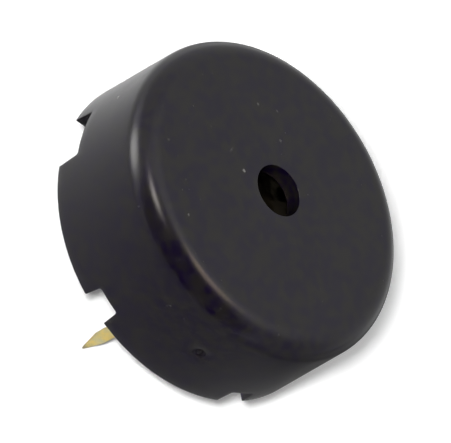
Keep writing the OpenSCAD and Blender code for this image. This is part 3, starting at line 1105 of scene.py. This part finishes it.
def seen_floor(tree, place, ray):
    """Shader of the floor as the camera and diffuse light see it."""
    sideways = reach_along(tree, place, turned(1, FLOOR_LIFT_TURN, 0))
    lift = fade(tree, sideways, FLOOR_LIFT_REACH, *FLOOR_LIFTS)
    far_lift = fade(tree, distance(tree, place), FAR_LIFT_REACH, 0, FAR_LIFT)
    lift = calc(tree, "MAXIMUM", lift, far_lift)
    lift = calc(tree, "MULTIPLY", ray["Is Camera Ray"], lift)
    diffuse = add_node(tree, "ShaderNodeBsdfDiffuse", {"Color": FLOOR_COLOUR})
    glow = add_node(tree, "ShaderNodeEmission", {"Strength": lift})
    return add_node(tree, "ShaderNodeAddShader", {0: diffuse.outputs[0], 1: glow.outputs[0]})


def mirrored_floor(tree, place):
    """Shader of the floor as the gloss mirrors it."""
    off = distance(tree, place, FLOOR_BRIGHT_AT * MM)
    shade = calc(tree, "SUBTRACT", FLOOR_BRIGHT, calc(tree, "MULTIPLY", off, FLOOR_FALL / MM))
    shade = calc(tree, "MAXIMUM", shade, FLOOR_LEAST)
    behind = reach_along(tree, place, turned(1, FLOOR_SHADE_TURN, 0))
    shade = calc(tree, "MULTIPLY", shade, fade(tree, behind, FLOOR_SHADE_REACH, 1, FLOOR_SHADE))
    beside = distance(tree, place, FLOOR_UNDER_AT * MM)
    shade = calc(tree, "MULTIPLY", shade, fade(tree, beside, FLOOR_UNDER_REACH, FLOOR_UNDER, 1))
    far = fade(tree, distance(tree, place), FLOOR_FAR_REACH, 0, 1)
    towards = reach_along(tree, place, turned(1, FLOOR_FAR_TURN, 0))
    far_shade = fade(tree, towards, FLOOR_FAR_FALL, *FLOOR_FAR)
    shade = blend_values(tree, far, shade, far_shade)
    return add_node(tree, "ShaderNodeEmission", {"Strength": shade})


def make_floor():
    """Pale floor under the pins, which the gloss mirrors in shades of its own."""
    floor, tree = stage_disc("floor", "pale_floor", FLOOR_R, segments=96)
    floor.location.z = PIN_END * MM
    ray = add_node(tree, "ShaderNodeLightPath").outputs
    place = own_place(tree)
    seen = seen_floor(tree, place, ray).outputs[0]
    mirrored = mirrored_floor(tree, place).outputs[0]
    both = add_node(tree, "ShaderNodeMixShader", {0: ray["Is Glossy Ray"], 1: seen, 2: mirrored})
    add_node(tree, "ShaderNodeOutputMaterial", {"Surface": both.outputs[0]})


def make_world():
    """Dim surround that the camera sees as white, and the gloss as brighter above and dimmer at one side."""
    world = bpy.data.worlds.new("studio")
    bpy.context.scene.world = world
    world.use_nodes = True
    tree = world.node_tree
    background = tree.nodes["Background"]
    ray = add_node(tree, "ShaderNodeLightPath").outputs
    towards = add_node(tree, "ShaderNodeTexCoord").outputs["Generated"]
    height = add_node(tree, "ShaderNodeSeparateXYZ", {0: towards}).outputs["Z"]
    mirrored = remap(tree, height, ZENITH_FROM, 1, MIRRORED_SURROUND, MIRRORED_ZENITH)
    drop = remap(tree, reach_along(tree, towards, sky(*DIM_SIDE)), *DIM_SIDE_SPAN, 0, DIM_SIDE_DROP)
    mirrored = calc(tree, "SUBTRACT", mirrored, drop)
    strength = blend_values(tree, ray["Is Glossy Ray"], SURROUND, mirrored)
    strength = blend_values(tree, ray["Is Camera Ray"], strength, 1.0)
    tree.links.new(strength, background.inputs["Strength"])
    background.inputs["Color"].default_value = (1, 1, 1, 1)


def hang_dark_card():
    """Dark card behind the camera that only the gloss shows, as a dark band on rounded edges."""
    card, tree = stage_disc("dark_card", "dark_card_face", CARD_R, segments=64)
    face_object(card, sky(*CARD_AT), CARD_DISTANCE)
    card.visible_camera = card.visible_diffuse = card.visible_shadow = False
    out = distance(tree, own_place(tree))
    shade = fade(tree, out, (CARD_CORE * CARD_R, CARD_R), 0, MIRRORED_SURROUND)
    face = add_node(tree, "ShaderNodeEmission", {"Strength": shade})
    add_node(tree, "ShaderNodeOutputMaterial", {"Surface": face.outputs[0]})


def softbox(name, direction, reach, size, power):
    """Round area lamp that faces the object from a direction."""
    lamp = bpy.data.lights.new(name, "AREA")
    lamp.shape = "ELLIPSE"
    lamp.size, lamp.size_y = (s * MM for s in size)
    lamp.energy = power
    box = bpy.data.objects.new(name, lamp)
    bpy.context.scene.collection.objects.link(box)
    face_object(box, direction.normalized(), reach)
    box.visible_camera = False
    return box


def gleam_box(name, direction, reach, size, power, colour):
    """Lamp with a soft edge that only the gloss shows."""
    box = softbox(name, direction, reach, size, power)
    box.visible_diffuse = False
    lamp = box.data
    lamp.color = colour
    lamp.use_nodes = True
    tree = lamp.node_tree
    across = add_node(tree, "ShaderNodeNewGeometry").outputs["Parametric"]
    strength = remap(tree, distance(tree, across, GLEAM_MIDDLE), *GLEAM_FADE, 1, 0)
    tree.links.new(strength, tree.nodes["Emission"].inputs["Strength"])


def light_studio():
    """One small soft lamp near the camera for light and shadow, and lamps that draw the gleams."""
    right, up, back = view_axes()
    direction = back + FRONT_SHIFT[0] * right + FRONT_SHIFT[1] * up
    front = softbox("front_light", direction, FRONT_DISTANCE, FRONT_SIZE, FRONT_POWER)
    front.visible_glossy = False
    for name, (at, reach, size, power, colour) in GLEAMS.items():
        gleam_box(name, sky(*at), reach, size, power, colour)


make_floor()
make_world()
hang_dark_card()
light_studio()
place_camera()
build_housing(plastic_finish("housing_plastic_finish", HOUSING_COLOURS, SPECKS))
build_base_plate(plastic_finish("base_plastic_finish", BASE_COLOURS))
strip_brass = brass_finish(
    "terminal_brass_finish", STRIP_COLOURS, STRIP_LINES, STRIP_METAL, STRIP_ROUGHNESS,
)
build_plate_terminal(strip_brass)
build_electrode_terminal(strip_brass)
# The diaphragm's brass is darkened as painted shade of the cavity behind the sound hole
sheet_brass_with_painted_shade = brass_finish(
    "rolled_brass_sheet_with_painted_shade", SHEET_COLOURS_WITH_PAINTED_SHADE, SHEET_LINES, SHEET_METAL, SHEET_ROUGHNESS,
)
finish_solid("diaphragm_plate", sheet_brass_with_painted_shade)
finish_solid("piezo_disc", ceramic_finish())
finish_solid("silver_electrode", silver_finish())
finish_solid("diaphragm_adhesive", silicone_finish())

bpy.context.scene.view_settings.view_transform = "Standard"
